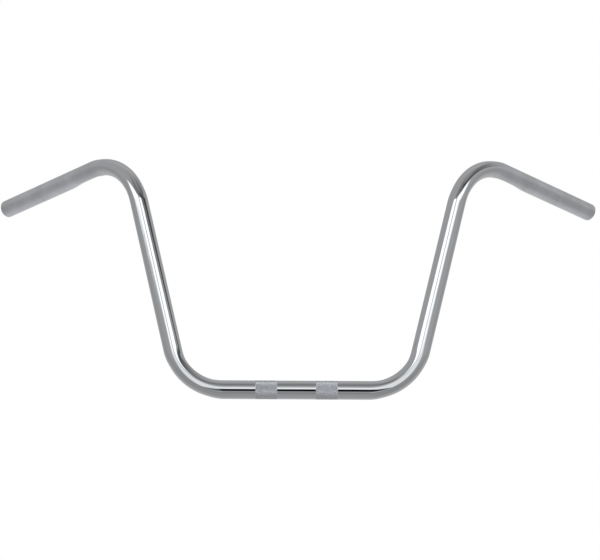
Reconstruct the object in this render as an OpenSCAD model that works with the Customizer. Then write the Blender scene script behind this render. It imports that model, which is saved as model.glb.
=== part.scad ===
// Motorcycle handlebar: one chrome-plated steel tube, bent twice on each side.
// The clamped centre section lies along X, with its middle at the origin.
// +Y points to the rider and +Z up, and the risers lean back as on the machine.

/* [Tube] */
// Outside diameter of the tube
tube_d = 25.4; // [22.2:0.1:31.8]
// Thickness of the tube's wall
wall = 2.4; // [1.6:0.1:3.2]
// How far the inside and the outside of each bend are pressed in by the former
bend_press = 1; // [0.5:0.1:1.2]
// Length over which the tube goes from round to flattened at each end of a bend
bend_shoulder = 14; // [8:1:14]
// Size of the small chamfer on the open ends
end_chamfer = 0.4; // [0.2:0.1:0.8]

/* [Centre section] */
// Straight length between the two lower bends
centre_len = 196; // [180:1:230]
// Distance between the middles of the two knurled bands
knurl_spacing = 82; // [76:1:100]
// Length of each knurled band
knurl_len = 29.5; // [20:0.5:40]
// Height of the knurled bands over the plain tube
knurl_raise = 0.05; // [0.05:0.01:0.08]

/* [Risers] */
// Radius of the lower bends, at the middle of the tube
lower_bend_r = 73.5; // [65:0.5:90]
// Angle that the tube turns through in each lower bend
lower_bend_angle = 76.5; // [70:0.5:85]
// Straight length of each riser between its bends
riser_len = 225; // [150:1:300]
// Angle that the risers lean back from upright
lean = 21; // [0:1:30]

/* [Grips] */
// Radius of the upper bends, at the middle of the tube
upper_bend_r = 88; // [75:1:100]
// Angle that the tube turns through in each upper bend
upper_bend_angle = 81.2; // [70:0.1:90]
// Angle that the tube is turned about itself between its two bends
upper_bend_turn = 134.3; // [120:0.1:150]
// Straight length of each grip end
grip_len = 200; // [190:1:230]

/* [Wiring dimples] */
// Depth of the dimple pressed into the underside of each grip end
dimple_depth = 2.3; // [1:0.1:2.6]
// Radius of the rounded tool that presses the dimple
dimple_tool_r = 9; // [7:0.5:12]
// Radius of the curve along which the dimple runs out at its ends
dimple_runout_r = 105; // [60:5:120]
// Length of the dimple at its full depth
dimple_len = 20; // [5:1:30]
// Distance from the open end of the bar to the middle of the dimple
dimple_from_end = 174; // [150:1:178]

/* [Hidden] */
$fn = 96;
tube_r = tube_d / 2;
// Half width of the tube between the inside and the outside of a bend
bend_half_w = tube_r - bend_press;
// Distance by which a cutting shape runs past the surface it opens
past = 1;
// How much the tube is drawn in across the flats of a bend, and at a bend's shoulders
bend_draw = 0.1;
shoulder_draw = 0.2;
// Length by which each shoulder reaches back into the straight before it
shoulder_seat = 1;
// Length by which each bend reaches into the straights beside it
bend_seat = 0.5;
// How much thinner the dimple's run-outs are than its middle
runout_draw = 0.02;
// Each run-out turns away until the tool is clear of the tube
dimple_runout_angle = acos(1 - (dimple_depth + past) / dimple_runout_r);

// A straight rod along +Y
module straight(rod_r, length) {
    rotate([-90, 0, 0]) cylinder(r = rod_r, h = length);
}

// The flattened length of tube in a bend, inset from its surface. It starts along +Y
// and turns towards -X, with a little to spare at both ends.
module flat_bend(bend_r, angle, inset) {
    seat = asin(bend_seat / bend_r);
    translate([-bend_r, 0, 0])
        rotate([0, 0, -seat])
            rotate_extrude(angle = angle + 2 * seat)
                translate([bend_r, 0])
                    scale([bend_half_w - inset, tube_r - bend_draw - inset])
                        circle(r = 1);
}

// The shoulder from the round tube into a flattened bend, along the chord of its first stretch
module bend_start(bend_r, inset) {
    rotate([0, 0, bend_shoulder / bend_r * 90 / PI])
        translate([0, -shoulder_seat, 0])
            rotate([-90, 0, 0])
                cylinder(
                    r1 = tube_r - shoulder_draw - inset,
                    r2 = bend_half_w - shoulder_draw - inset,
                    h = bend_shoulder + shoulder_seat
                );
}

// A bent rod that starts along +Y and turns towards -X, inset from the tube's surface
module bend(bend_r, angle, inset) {
    flat_bend(bend_r, angle, inset);
    bend_start(bend_r, inset);
    after_bend(bend_r, angle) mirror([0, 1, 0]) bend_start(bend_r, inset);
}

// A round rod bent from +Y towards -X
module round_bend(rod_r, bend_r, angle) {
    seat = asin(bend_seat / bend_r);
    translate([-bend_r, 0, 0])
        rotate([0, 0, -seat])
            rotate_extrude(angle = angle + 2 * seat)
                translate([bend_r, 0])
                    circle(r = rod_r);
}

// Places what follows a bend at the end of it, again along +Y
module after_bend(bend_r, angle) {
    translate([-bend_r, 0, 0])
        rotate([0, 0, angle])
            translate([bend_r, 0, 0])
                children();
}

// The four places along the +X half of the bar, each with the tube along +Y
module at_lower_bend() {
    rotate([90, 90, 0]) translate([0, centre_len / 2, 0]) children();
}

module at_riser() {
    at_lower_bend() after_bend(lower_bend_r, lower_bend_angle) children();
}

module at_upper_bend() {
    at_riser() translate([0, riser_len, 0]) rotate([0, -upper_bend_turn, 0]) children();
}

module at_grip() {
    at_upper_bend() after_bend(upper_bend_r, upper_bend_angle) children();
}

module both_sides() {
    children();
    mirror([1, 0, 0]) children();
}

// A rod along the whole line of the bar, inset from the tube's surface
module bar_line(inset, grip) {
    rotate([0, 90, 0]) cylinder(r = tube_r - inset, h = centre_len, center = true);
    both_sides() {
        at_lower_bend() bend(lower_bend_r, lower_bend_angle, inset);
        at_riser() straight(tube_r - inset, riser_len);
        at_upper_bend() bend(upper_bend_r, upper_bend_angle, inset);
        at_grip() straight(tube_r - inset, grip);
    }
}

module chamfered_ends() {
    both_sides()
        at_grip()
            translate([0, grip_len - end_chamfer, 0])
                rotate([-90, 0, 0])
                    cylinder(r1 = tube_r, r2 = tube_r - end_chamfer, h = end_chamfer);
}

module knurled_bands() {
    for (side = [-1, 1])
        translate([side * knurl_spacing / 2, 0, 0])
            rotate([0, 90, 0])
                cylinder(r = tube_r + knurl_raise, h = knurl_len, center = true);
}

// The round tool that presses both dimples, or what its print leaves inside the tube.
// It lies under each grip end, straight in its middle and curving away at both ends.
module dimple_tools(tool_r) {
    both_sides()
        at_grip()
            translate([-(tube_r - dimple_depth + dimple_tool_r), grip_len - dimple_from_end, 0])
                for (end = [0, 1])
                    mirror([0, end, 0]) {
                        straight(tool_r, dimple_len / 2);
                        translate([0, dimple_len / 2, 0])
                            round_bend(tool_r - runout_draw, dimple_runout_r, dimple_runout_angle);
                    }
}

module handlebar_tube() {
    color("silver")
        rotate([-lean, 0, 0])
            difference() {
                union() {
                    bar_line(0, grip_len - end_chamfer);
                    chamfered_ends();
                    knurled_bands();
                }
                dimple_tools(dimple_tool_r);
                difference() {
                    bar_line(wall, grip_len + past);
                    dimple_tools(dimple_tool_r + wall);
                }
            }
}

handlebar_tube();
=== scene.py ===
from math import acos, atan2, pi, radians

import bmesh
import bpy
from mathutils import Matrix, Vector


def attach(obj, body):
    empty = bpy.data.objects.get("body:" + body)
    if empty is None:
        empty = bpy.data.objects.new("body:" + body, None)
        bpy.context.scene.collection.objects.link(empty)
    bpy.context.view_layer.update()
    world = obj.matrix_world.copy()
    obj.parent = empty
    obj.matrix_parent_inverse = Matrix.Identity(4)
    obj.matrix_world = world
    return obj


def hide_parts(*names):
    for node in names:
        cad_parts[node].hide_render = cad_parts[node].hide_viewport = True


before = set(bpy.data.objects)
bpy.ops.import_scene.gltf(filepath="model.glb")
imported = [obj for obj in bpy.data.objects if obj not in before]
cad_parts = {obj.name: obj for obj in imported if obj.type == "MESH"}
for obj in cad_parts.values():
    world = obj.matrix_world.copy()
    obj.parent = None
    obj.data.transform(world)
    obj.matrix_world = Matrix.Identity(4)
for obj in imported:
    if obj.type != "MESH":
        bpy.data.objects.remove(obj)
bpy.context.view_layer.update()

# Camera
# A long lens about three metres in front of the bar, level with the middle
# of the risers, as for a catalogue picture.
camera_data = bpy.data.cameras.new("camera")
camera_data.lens = 132.84
camera_data.sensor_width = 36.0
camera = bpy.data.objects.new("camera", camera_data)
camera.location = (0.00756, -3.00374, 0.15624)
camera.rotation_euler = (radians(89.868), radians(-0.3134), radians(0.071))
bpy.context.collection.objects.link(camera)
bpy.context.scene.camera = camera

# Tube
# One length of steel tube, polished and chrome plated. It is bent round two
# formers on each side, which press it slightly oval, and its ends are cut
# square with the rim eased. It is clamped by its straight middle.
tube_r = 0.0127
sides = 72
lean = radians(21)
half_centre, riser, grip = 0.098, 0.225, 0.200
band_in, band_out, band_rows = 0.02625, 0.05575, 26
lower_bend_r, lower_bend_angle = 0.0735, radians(76.5)
upper_bend_r, upper_bend_angle = 0.088, radians(81.2)
upper_bend_turn = radians(134.3)
bend_half_w, bend_half_h, bend_ramp = 0.0117, 0.01265, 0.024
# The first stretch of each grip end is laid finely, for the dimple pressed in there
grip_fine = 0.060

bpy.ops.object.select_all(action="DESELECT")
bpy.ops.mesh.primitive_circle_add(vertices=sides, radius=tube_r, rotation=(0, radians(90), 0))
tube = bpy.context.object
tube.name = tube.data.name = "bent_tube"
bpy.ops.object.transform_apply(location=True, rotation=True, scale=True)

# The end of the tube as it is laid: y runs along it, and it bends towards -x
tube_end = Matrix(((0, 1, 0, 0), (0, 0, -1, 0), (-1, 0, 0, 0), (0, 0, 0, 1)))
laid = 0.0


def mark_ring():
    """Writes on the newest ring how far along the tube it lies."""
    mesh = bmesh.from_edit_mesh(bpy.context.object.data)
    along = mesh.verts.layers.float["along"]
    for v in mesh.verts:
        if v.select:
            v[along] = laid


def lay_straight(length, steps):
    """Lays a straight stretch of tube."""
    global tube_end, laid
    for _ in range(steps):
        step = tube_end.to_3x3() @ Vector((0, length / steps, 0))
        bpy.ops.mesh.extrude_region_move(TRANSFORM_OT_translate={"value": step})
        tube_end = tube_end @ Matrix.Translation((0, length / steps, 0))
        laid += length / steps
        mark_ring()


def lay_bend(radius, angle, steps, half_w, half_h, ramp):
    """Bends the tube, pressed from round to oval over a short ramp at each end.

    half_w and half_h are the oval's half widths as shares of the tube's radius.
    """
    global tube_end, laid
    arc, was_w, was_h = radius * angle, 1.0, 1.0
    for k in range(1, steps + 1):
        centre = tube_end @ Vector((-radius, 0, 0))
        axis = tube_end.to_3x3() @ Vector((0, 0, 1))
        bpy.ops.mesh.spin(steps=1, angle=-angle / steps, center=centre, axis=axis)
        tube_end = (tube_end @ Matrix.Translation((-radius, 0, 0))
                    @ Matrix.Rotation(angle / steps, 4, "Z") @ Matrix.Translation((radius, 0, 0)))
        laid += arc / steps
        share = min(1.0, arc * k / steps / ramp, arc * (steps - k) / steps / ramp)
        share = share * share * (3 - 2 * share)
        w, h = 1 + (half_w - 1) * share, 1 + (half_h - 1) * share
        bpy.ops.transform.resize(
            value=(w / was_w, 1, h / was_h), orient_type="GLOBAL", orient_matrix=tube_end.to_3x3(),
            orient_matrix_type="GLOBAL", center_override=tube_end.translation)
        was_w, was_h = w, h
        mark_ring()


tube.data.attributes.new("along", "FLOAT", "POINT")
around = tube.data.attributes.new("around", "FLOAT", "POINT")
for v in tube.data.vertices:
    around.data[v.index].value = (atan2(v.co.y, v.co.z) / (2 * pi)) % 1.0
bpy.ops.object.mode_set(mode="EDIT")
bpy.ops.mesh.select_all(action="SELECT")
lay_straight(band_in, steps=3)
lay_straight(band_out - band_in, steps=band_rows)
lay_straight(half_centre - band_out, steps=4)
oval = {"half_w": bend_half_w / tube_r, "half_h": bend_half_h / tube_r, "ramp": bend_ramp}
lay_bend(lower_bend_r, lower_bend_angle, steps=44, **oval)
lay_straight(riser, steps=12)
tube_end = tube_end @ Matrix.Rotation(-upper_bend_turn, 4, "Y")
lay_bend(upper_bend_r, upper_bend_angle, steps=50, **oval)
lean_back = Matrix.Rotation(-lean, 4, "X")
grip_start = lean_back @ tube_end
lay_straight(grip_fine, steps=36)
lay_straight(grip - grip_fine, steps=8)
bpy.ops.object.mode_set(mode="OBJECT")
tube.matrix_world = lean_back
bpy.ops.object.transform_apply(location=True, rotation=True, scale=True)

# Wiring dimples
# A shallow hollow under each grip end, where the switch wires lie. A rounded
# tool presses it into the tube, and the wall follows inside.
dimple_depth, dimple_turn, dimple_tool_r = 0.0032, radians(20), 0.036
dimple_runout_r, dimple_len, dimple_from_end = 0.090, 0.020, 0.180
# How far the tool lifts clear of the tube at its ends, and how far back it can press
dimple_clear, dimple_back = 0.004, -0.019
# Points closer together than this are taken as one
near = 1e-5

bpy.ops.object.select_all(action="DESELECT")
bpy.ops.mesh.primitive_circle_add(vertices=360, radius=dimple_tool_r, rotation=(radians(90), 0, 0))
press = bpy.context.object
bpy.ops.object.transform_apply(location=True, rotation=True, scale=True)
bpy.ops.object.mode_set(mode="EDIT")
runout = acos(1 - (dimple_depth + dimple_clear) / dimple_runout_r)
for way in (1, -1):
    bpy.ops.mesh.select_all(action="DESELECT")
    mesh = bmesh.from_edit_mesh(press.data)
    for v in mesh.verts:
        if abs(v.co.y) < near:
            v.select = True
    mesh.select_flush_mode()
    bmesh.update_edit_mesh(press.data)
    half_len = way * dimple_len / 2
    bpy.ops.mesh.extrude_region_move(TRANSFORM_OT_translate={"value": (0, half_len, 0)})
    bpy.ops.mesh.spin(steps=32, angle=-way * runout, axis=(0, 0, 1),
                      center=(dimple_tool_r - dimple_runout_r, half_len, 0))
bpy.ops.mesh.select_all(action="SELECT")
bpy.ops.mesh.fill_holes(sides=0)
bpy.ops.mesh.select_all(action="SELECT")
bpy.ops.mesh.normals_make_consistent(inside=False)
bpy.ops.object.mode_set(mode="OBJECT")
press_way = grip_start @ Matrix.Rotation(dimple_turn, 4, "Y")
press.matrix_world = press_way @ Matrix.Translation(
    (dimple_depth - tube_r - dimple_tool_r, grip - dimple_from_end, 0))
bpy.ops.object.transform_apply(location=True, rotation=True, scale=True)

# Only the underside of the grip, well within the tool's length, can be pressed in
bpy.ops.object.select_all(action="DESELECT")
tube.select_set(True)
bpy.context.view_layer.objects.active = tube
underside = tube.vertex_groups.new(name="underside")
from_tool = press_way.inverted()
for v in tube.data.vertices:
    place = from_tool @ v.co
    if dimple_back < place.y < grip_fine and place.x < 0 and abs(place.z) < tube_r:
        underside.add([v.index], 1.0, "REPLACE")
pressed = tube.modifiers.new("pressed", "SHRINKWRAP")
pressed.target = press
pressed.vertex_group = "underside"
pressed.wrap_method = "NEAREST_SURFACEPOINT"
pressed.wrap_mode = "OUTSIDE"
bpy.ops.object.modifier_apply(modifier="pressed")
tube.vertex_groups.clear()
bpy.data.objects.remove(press)

# Other half, wall and rims
# The bar is the same on both sides of its middle. The wall lies inside the
# surface that is plated, and the sawn rims at the open ends are eased.
wall = 0.0024
rim_round, rim_slack = 0.0004, 0.0002

mirrored = tube.modifiers.new("other_half", "MIRROR")
mirrored.use_clip = True
mirrored.merge_threshold = near
bpy.ops.object.modifier_apply(modifier="other_half")
bpy.ops.object.mode_set(mode="EDIT")
bpy.ops.mesh.select_all(action="SELECT")
bpy.ops.mesh.remove_doubles(threshold=near)
bpy.ops.mesh.normals_make_consistent(inside=False)
bpy.ops.object.mode_set(mode="OBJECT")

# The tube's own map: the way round it and the way along it from its middle, in metres
lay_uv = tube.data.uv_layers.new(name="along_tube")
along, around = tube.data.attributes["along"].data, tube.data.attributes["around"].data
for face in tube.data.polygons:
    turns = [around[tube.data.loops[i].vertex_index].value for i in face.loop_indices]
    wraps = max(turns) - min(turns) > 0.5
    for i, turn in zip(face.loop_indices, turns):
        v = tube.data.loops[i].vertex_index
        side = 1 if tube.data.vertices[v].co.x >= 0 else -1
        turn = turn + 1 if wraps and turn < 0.5 else turn
        lay_uv.data[i].uv = (turn * 2 * pi * tube_r, side * along[v].value)

# The inside of the wall takes the bore's finish, in the slot after the plate's
plate_slot, bore_slot, knurl_slot = range(3)
for _ in (plate_slot, bore_slot, knurl_slot):
    tube.data.materials.append(None)
thick = tube.modifiers.new("wall", "SOLIDIFY")
thick.thickness = wall
thick.offset = -1
thick.material_offset = bore_slot
bpy.ops.object.modifier_apply(modifier="wall")

# The rims lie in the plane of the bar's tip, and unlike the edges across the wall
# they keep one distance from its middle
bpy.ops.object.mode_set(mode="EDIT")
bpy.ops.mesh.select_all(action="DESELECT")
mesh = bmesh.from_edit_mesh(tube.data)
bar_tip = grip_start @ Vector((0, grip, 0))
tip_way = grip_start.to_3x3() @ Vector((0, 1, 0))
for edge in mesh.edges:
    ends = [Vector((abs(v.co.x), v.co.y, v.co.z)) - bar_tip for v in edge.verts]
    at_tip = all(abs(end.dot(tip_way)) < near for end in ends)
    edge.select = at_tip and abs(ends[0].length - ends[1].length) < rim_slack
mesh.select_flush_mode()
bpy.ops.mesh.bevel(offset=rim_round, segments=3, affect="EDGES")
bpy.ops.object.mode_set(mode="OBJECT")

# Knurled bands
# Two bands of fine diamond knurling, where the clamps grip the bar. A pair of
# hard wheels rolls them into the tube before it is plated.
crest, root = 0.00012, 0.00016
band_slack = 0.0003


def on_band(point):
    """Whether a point is on the outside of the tube within a knurled band."""
    out = (point.y ** 2 + point.z ** 2) ** 0.5
    return band_in < abs(point.x) < band_out and out > tube_r - band_slack


def select_bands():
    """Selects the faces of both bands, and nothing else."""
    bpy.ops.mesh.select_all(action="DESELECT")
    for face in bmesh.from_edit_mesh(tube.data).faces:
        if on_band(face.calc_center_median()):
            face.select = True


bpy.ops.object.mode_set(mode="EDIT")
select_bands()
bpy.ops.mesh.subdivide(number_cuts=1)
bpy.ops.mesh.select_mode(type="VERT")
rows, columns = 2 * band_rows, 2 * sides
row_len = (band_out - band_in) / rows
# Every second point goes down to a root, and then each of the others up to a crest
for way, rise in enumerate((-root, crest)):
    bpy.ops.mesh.select_all(action="DESELECT")
    mesh = bmesh.from_edit_mesh(tube.data)
    for v in mesh.verts:
        if on_band(v.co):
            row = round((abs(v.co.x) - band_in) / row_len)
            column = round(atan2(v.co.y, v.co.z) / (2 * pi) * columns)
            v.select = 0 < row < rows and (row + column) % 2 == way
    mesh.select_flush_mode()
    bmesh.update_edit_mesh(tube.data)
    grow = (tube_r + rise) / tube_r
    bpy.ops.transform.resize(value=(1, grow, grow), center_override=(0, 0, 0))
select_bands()
bpy.ops.mesh.quads_convert_to_tris(quad_method="SHORTEST_DIAGONAL")
bpy.ops.object.mode_set(mode="OBJECT")

# Finish
# Bright chrome plate over polished steel. The knurls are plated with the rest
# but look dull, and no plate reaches the bore, which keeps its drawn steel.
def join(tree, kind, values, **settings):
    """A node of this kind, with each input set to a value or linked to a socket."""
    node = tree.nodes.new(kind)
    for name, setting in settings.items():
        setattr(node, name, setting)
    for name, value in values.items():
        if isinstance(value, bpy.types.NodeSocket):
            tree.links.new(value, node.inputs[name])
        else:
            node.inputs[name].default_value = value
    return node


# Handling leaves cloudy patches, a little duller and milkier than clean plate
haze_roughness, haze_share = 0.16, 0.85
haze_color = (0.69, 0.71, 0.76, 1)
haze = bpy.data.node_groups.new("handling_haze", "ShaderNodeTree")
for name, in_out in (("Color", "INPUT"), ("Roughness", "INPUT"), ("Amount", "INPUT"),
                     ("Color", "OUTPUT"), ("Roughness", "OUTPUT")):
    kind = "NodeSocketColor" if name == "Color" else "NodeSocketFloat"
    haze.interface.new_socket(name, in_out=in_out, socket_type=kind)
given = haze.nodes.new("NodeGroupInput")
at = haze.nodes.new("ShaderNodeTexCoord")
cloud = join(haze, "ShaderNodeTexNoise",
             {"Vector": at.outputs["Object"], "Scale": 28.0, "Detail": 5.0, "Roughness": 0.6})
patch = join(haze, "ShaderNodeMapRange",
             {"Value": cloud.outputs["Fac"], "From Min": 0.38, "From Max": 0.66})
patch = join(haze, "ShaderNodeMath",
             {0: patch.outputs["Result"], 1: given.outputs["Amount"]}, operation="MULTIPLY")
rough = join(haze, "ShaderNodeMath", {0: patch.outputs[0], 1: haze_roughness}, operation="MULTIPLY")
rough = join(haze, "ShaderNodeMath",
             {0: rough.outputs[0], 1: given.outputs["Roughness"]}, operation="ADD")
dull = join(haze, "ShaderNodeMath", {0: patch.outputs[0], 1: haze_share}, operation="MULTIPLY")
tint = join(haze, "ShaderNodeMix",
            {0: dull.outputs[0], 6: given.outputs["Color"], 7: haze_color}, data_type="RGBA")
join(haze, "NodeGroupOutput", {"Color": tint.outputs[2], "Roughness": rough.outputs[0]})


def hazed_metal(slot, name, color, roughness, amount=0.0):
    """A metal that takes the handling haze, put in one of the tube's slots."""
    metal = bpy.data.materials.new(name)
    metal.use_nodes = True
    tree = metal.node_tree
    shader = tree.nodes["Principled BSDF"]
    shader.inputs["Metallic"].default_value = 1.0
    worn = join(tree, "ShaderNodeGroup",
                {"Color": color, "Roughness": roughness, "Amount": amount}, node_tree=haze)
    tree.links.new(worn.outputs["Color"], shader.inputs["Base Color"])
    tree.links.new(worn.outputs["Roughness"], shader.inputs["Roughness"])
    tube.data.materials[slot] = metal
    return tree, shader, worn


def noise(tree, scale, detail):
    """Noise of one size in every direction."""
    at = tree.nodes.new("ShaderNodeTexCoord")
    values = {"Vector": at.outputs["Object"], "Scale": scale, "Detail": detail}
    return join(tree, "ShaderNodeTexNoise", values).outputs["Fac"]


def lengthwise_lines(tree, across, lengthwise, detail):
    """Fine lines along the tube, that follow it round its bends."""
    lay = join(tree, "ShaderNodeUVMap", {}, uv_map="along_tube")
    drawn = join(tree, "ShaderNodeMapping",
                 {"Vector": lay.outputs["UV"], "Scale": (across, lengthwise, 1.0)})
    values = {"Vector": drawn.outputs["Vector"], "Scale": 1.0, "Detail": detail}
    return join(tree, "ShaderNodeTexNoise", values).outputs["Fac"]


def bump(tree, shader, height, distance):
    """Raises this height over the surface by a distance in metres."""
    raised = join(tree, "ShaderNodeBump", {"Height": height, "Strength": 1.0, "Distance": distance})
    tree.links.new(raised.outputs["Normal"], shader.inputs["Normal"])


# The plate shows the faint waviness and the fine lengthwise lines of polishing.
# Its haze is strongest on the grip ends, where hands hold the bar.
tree, shader, worn = hazed_metal(plate_slot, "polished_chrome", (0.556, 0.572, 0.590, 1), 0.012)
lay = join(tree, "ShaderNodeUVMap", {}, uv_map="along_tube")
split = join(tree, "ShaderNodeSeparateXYZ", {0: lay.outputs["UV"]})
from_middle = join(tree, "ShaderNodeMath", {0: split.outputs["Y"]}, operation="ABSOLUTE")
handled = join(tree, "ShaderNodeMapRange", {
    "Value": from_middle.outputs[0], "From Min": 0.50, "From Max": 0.58, "To Min": 0.1, "To Max": 1.0})
tree.links.new(handled.outputs["Result"], worn.inputs["Amount"])
wave = join(tree, "ShaderNodeMath",
            {0: noise(tree, scale=45.0, detail=2.0), 1: 14.0}, operation="MULTIPLY")
lines = lengthwise_lines(tree, across=900.0, lengthwise=14.0, detail=3.0)
height = join(tree, "ShaderNodeMath", {0: wave.outputs[0], 1: lines}, operation="ADD")
bump(tree, shader, height.outputs[0], distance=0.000004)

# The drawn steel of the bore, darker and streaked along its length
tree, shader, _ = hazed_metal(bore_slot, "drawn_steel", (0.30, 0.29, 0.285, 1), 0.42, amount=1.0)
streaks = lengthwise_lines(tree, across=700.0, lengthwise=20.0, detail=4.0)
bump(tree, shader, streaks, distance=0.00005)

# The knurls carry a grainy plate that scatters the light
tree, shader, _ = hazed_metal(knurl_slot, "knurled_chrome", (0.575, 0.59, 0.62, 1), 0.40, amount=0.4)
bump(tree, shader, noise(tree, scale=4000.0, detail=2.0), distance=0.00003)

bpy.ops.object.select_all(action="DESELECT")
tube.select_set(True)
bpy.context.view_layer.objects.active = tube
bpy.ops.object.shade_smooth_by_angle(angle=radians(30))
for face in tube.data.polygons:
    if on_band(face.center):
        face.use_smooth = False
        face.material_index = knurl_slot
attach(tube, "root")
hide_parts("handlebar_tube")

# Floor
# A plain pale floor well below the bar, which keeps its soft shadow and
# fades to white towards its edge.
floor_r, floor_z = 2.4, -0.60
fade_start, fade_end = 0.9, 2.2
bpy.ops.object.select_all(action="DESELECT")
bpy.ops.mesh.primitive_circle_add(
    vertices=96, radius=floor_r, fill_type="NGON", location=(0, 0.1, floor_z))
floor = bpy.context.object
floor.name = "floor"
bpy.ops.object.transform_apply(location=True, rotation=True, scale=True)
floor.visible_glossy = False
pale = bpy.data.materials.new("pale_floor")
pale.use_nodes = True
tree = pale.node_tree
matt = tree.nodes["Principled BSDF"]
matt.inputs["Base Color"].default_value = (0.9, 0.9, 0.9, 1)
matt.inputs["Roughness"].default_value = 0.9
at = tree.nodes.new("ShaderNodeTexCoord")
spread = join(tree, "ShaderNodeVectorMath", {0: at.outputs["Object"]}, operation="LENGTH")
fade = join(tree, "ShaderNodeMapRange",
            {"Value": spread.outputs["Value"], "From Min": fade_start, "From Max": fade_end},
            interpolation_type="SMOOTHSTEP")
white = tree.nodes.new("ShaderNodeEmission")
mix = join(tree, "ShaderNodeMixShader",
           {0: fade.outputs["Result"], 1: matt.outputs[0], 2: white.outputs[0]})
tree.links.new(mix.outputs[0], tree.nodes["Material Output"].inputs["Surface"])
floor.data.materials.append(pale)

# One large soft lamp overhead, which the chrome doesn't mirror
lamp_data = bpy.data.lights.new("top_light", "AREA")
lamp_data.size = 1.4
lamp_data.energy = 14
lamp = bpy.data.objects.new("top_light", lamp_data)
lamp.location = (0.2, -0.3, 1.7)
lamp.visible_glossy = False
bpy.context.collection.objects.link(lamp)

# Studio
# The room that the chrome mirrors: grey walls, paler behind the bar, a soft glow
# over the camera with a dark gap at lens height, and a wide arch of soft boxes.
# Everything else is lit by plain white light.
glow_az, glow_el, glow_edge, glow_tone = 4.0, 13.5, (41.0, 31.0), 1.24
arch_tone, seam_tone, fill_tone = 1.9, 0.08, 0.75

world = bpy.data.worlds.new("studio")
bpy.context.scene.world = world
world.use_nodes = True
world.cycles.sampling_method = "NONE"
room = world.node_tree
room.nodes.clear()


def reckon(operation, a, b=0.0):
    """A sum on two sockets or numbers. An operation on one leaves b unread."""
    return join(room, "ShaderNodeMath", {0: a, 1: b}, operation=operation).outputs[0]


def soft_step(value, start, end):
    """0 at start and 1 at end, with a soft edge between them, whichever is the larger."""
    values = {"Value": value, "From Min": start, "From Max": end}
    return join(room, "ShaderNodeMapRange", values, interpolation_type="SMOOTHSTEP").outputs["Result"]


def blend(share, a, b):
    """a where the share is 0, and b where it is 1."""
    return join(room, "ShaderNodeMix", {0: share, 2: a, 3: b}, data_type="FLOAT").outputs[0]


def curve(value, points, top=2.0):
    """A smooth line through points whose x is in degrees, with y from 0 to top."""
    place = reckon("DIVIDE", reckon("ADD", value, 180.0), 360.0)
    node = join(room, "ShaderNodeFloatCurve", {"Value": place})
    line = node.mapping.curves[0]
    line.points[0].location = (0.0, points[0][1] / top)
    line.points[1].location = (1.0, points[-1][1] / top)
    for degree, height in points:
        line.points.new((degree + 180) / 360, height / top)
    node.mapping.update()
    return reckon("MULTIPLY", node.outputs["Value"], top)


# Where each mirrored ray goes: round from the camera's side, and up from level
look = room.nodes.new("ShaderNodeTexCoord")
x, y, z = join(room, "ShaderNodeSeparateXYZ", {0: look.outputs["Generated"]}).outputs
az = reckon("MULTIPLY", reckon("ARCTAN2", x, reckon("MULTIPLY", y, -1.0)), 180 / pi)
el = reckon("MULTIPLY", reckon("ARCSINE", z), 180 / pi)
wide = reckon("ABSOLUTE", az)

# Grey walls, floor and ceiling: in front, at the two sides, and behind the bar
front = curve(el, [(-90, 0.48), (-65, 0.47), (-50, 0.42), (-38, 0.40), (-27, 0.42), (-18, 0.46),
                   (0, 0.5), (38, 0.5), (52, 0.28), (62, 0.24), (72, 0.27), (82, 0.38), (90, 0.45)])
left_wall = curve(el, [(-90, 0.46), (-60, 0.45), (-25, 0.42), (0, 0.45), (20, 0.52), (50, 0.52),
                       (75, 0.50), (90, 0.47)])
right_wall = curve(el, [(-90, 0.46), (-60, 0.42), (-25, 0.42), (0, 0.46), (20, 0.56), (38, 0.50),
                        (46, 0.30), (52, 0.20), (60, 0.27), (68, 0.34), (78, 0.44), (90, 0.45)])
walls = blend(soft_step(az, -10, 10), left_wall, right_wall)
rear = curve(el, [(-90, 0.48), (-65, 0.58), (-35, 0.64), (-8, 0.62), (12, 0.52), (35, 0.49),
                  (60, 0.59), (75, 0.55), (90, 0.46)])
grey = blend(soft_step(wide, 8, 40), front, walls)
turn_back = curve(el, [(-90, 76), (-20, 78), (10, 106), (50, 96), (90, 90)], top=180)
grey = blend(soft_step(wide, turn_back, reckon("ADD", turn_back, 64.0)), grey, rear)

# The glow over the camera
up, across = reckon("SUBTRACT", el, glow_el), reckon("SUBTRACT", az, glow_az)
glow_out = reckon("SQRT", reckon("ADD", reckon("MULTIPLY", up, up), reckon("MULTIPLY", across, across)))
tone = blend(soft_step(glow_out, *glow_edge), grey, glow_tone)

# The arch of soft boxes, parted in the middle
top_edge = curve(az, [(-180, 30), (-90, 35), (-72, 38), (-62, 42), (-52, 46), (-42, 49.5), (-30, 51.5),
                      (0, 50), (26, 50.5), (36, 49), (46, 46.5), (56, 43.5), (66, 40), (76, 36),
                      (90, 32), (180, 30)], top=90)
low_edge = curve(az, [(-180, 30), (-90, 30), (-75, 27), (-60, 26), (-50, 29), (-40, 33), (-28, 36),
                      (0, 38), (28, 36), (35, 35), (45, 33), (55, 31), (70, 28), (90, 28),
                      (180, 30)], top=90)
above = soft_step(el, reckon("SUBTRACT", low_edge, 4.0), reckon("ADD", low_edge, 2.0))
below = soft_step(el, reckon("ADD", top_edge, 1.5), reckon("SUBTRACT", top_edge, 1.5))
reach = reckon("MULTIPLY", soft_step(az, -73.0, -65.0), soft_step(az, 77.0, 67.0))
reach = reckon("MULTIPLY", reach, soft_step(wide, 2.0, 9.0))
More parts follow.
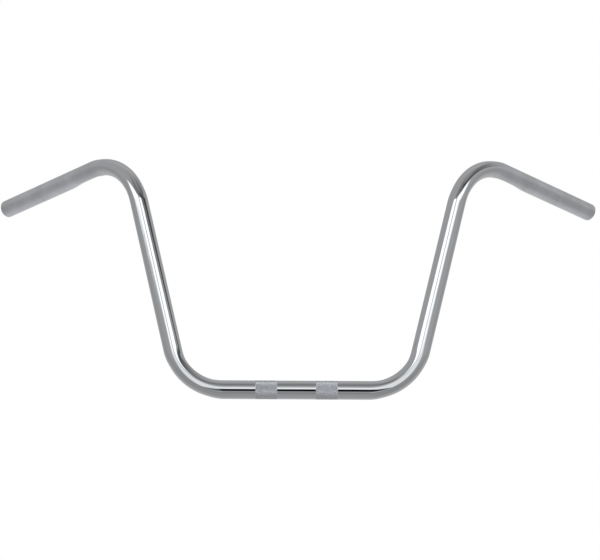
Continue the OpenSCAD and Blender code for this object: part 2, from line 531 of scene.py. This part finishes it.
tone = blend(reckon("MULTIPLY", reckon("MULTIPLY", above, below), reach), tone, arch_tone)

# A dark seam along the arch's upper right edge
seam = curve(az, [(-180, 60), (20, 62), (35, 59), (50, 55), (65, 50.5), (80, 44.5), (92, 38),
                  (110, 31), (180, 20)], top=90)
seam = soft_step(reckon("ABSOLUTE", reckon("SUBTRACT", el, seam)), 5.0, 2.0)
reach = reckon("MULTIPLY", soft_step(az, 22.0, 36.0), soft_step(az, 112.0, 98.0))
tone = blend(reckon("MULTIPLY", seam, reach), tone, seam_tone)

# The dark gap at lens height, which widens downwards
gap_half_w = reckon("MULTIPLY", reckon("SUBTRACT", 16.0, el), 0.78)
inside = soft_step(reckon("SUBTRACT", wide, gap_half_w), 2.5, -2.5)
reach = reckon("MULTIPLY", soft_step(el, -23.0, -13.0), soft_step(el, 17.0, 11.0))
dim = curve(az, [(-180, 0.3), (-20, 0.30), (-8, 0.18), (-3, 0.16), (0, 0.06), (3, 0.02), (9, 0.01),
                 (14, 0.05), (20, 0.2), (180, 0.3)])
tone = blend(reckon("MULTIPLY", inside, reach), tone, dim)

# Straight over and under the lens the room is seen sharply along the clamped middle
column = curve(el, [(-90, 0.48), (-67, 0.50), (-53, 0.44), (-40, 0.39), (-28, 0.39), (-19, 0.48),
                    (-15, 0.42), (-11, 0.04), (-1, 0.00), (8, 0.00), (11, 0.20), (14, 0.90),
                    (19, 1.45), (25, 1.38), (33, 1.02), (41, 0.72), (50, 0.50), (63, 0.34),
                    (76, 0.31), (84, 0.37), (90, 0.40)])
tone = blend(soft_step(wide, 7.0, 3.0), tone, column)

rays = room.nodes.new("ShaderNodeLightPath")
plain = blend(rays.outputs["Is Camera Ray"], fill_tone, 1.0)
plain = blend(rays.outputs["Is Transmission Ray"], plain, 1.0)
strength = blend(rays.outputs["Is Glossy Ray"], plain, tone)
light = join(room, "ShaderNodeBackground", {"Color": (1, 1, 1, 1), "Strength": strength})
join(room, "ShaderNodeOutputWorld", {"Surface": light.outputs[0]})

bpy.context.scene.view_settings.view_transform = "Standard"
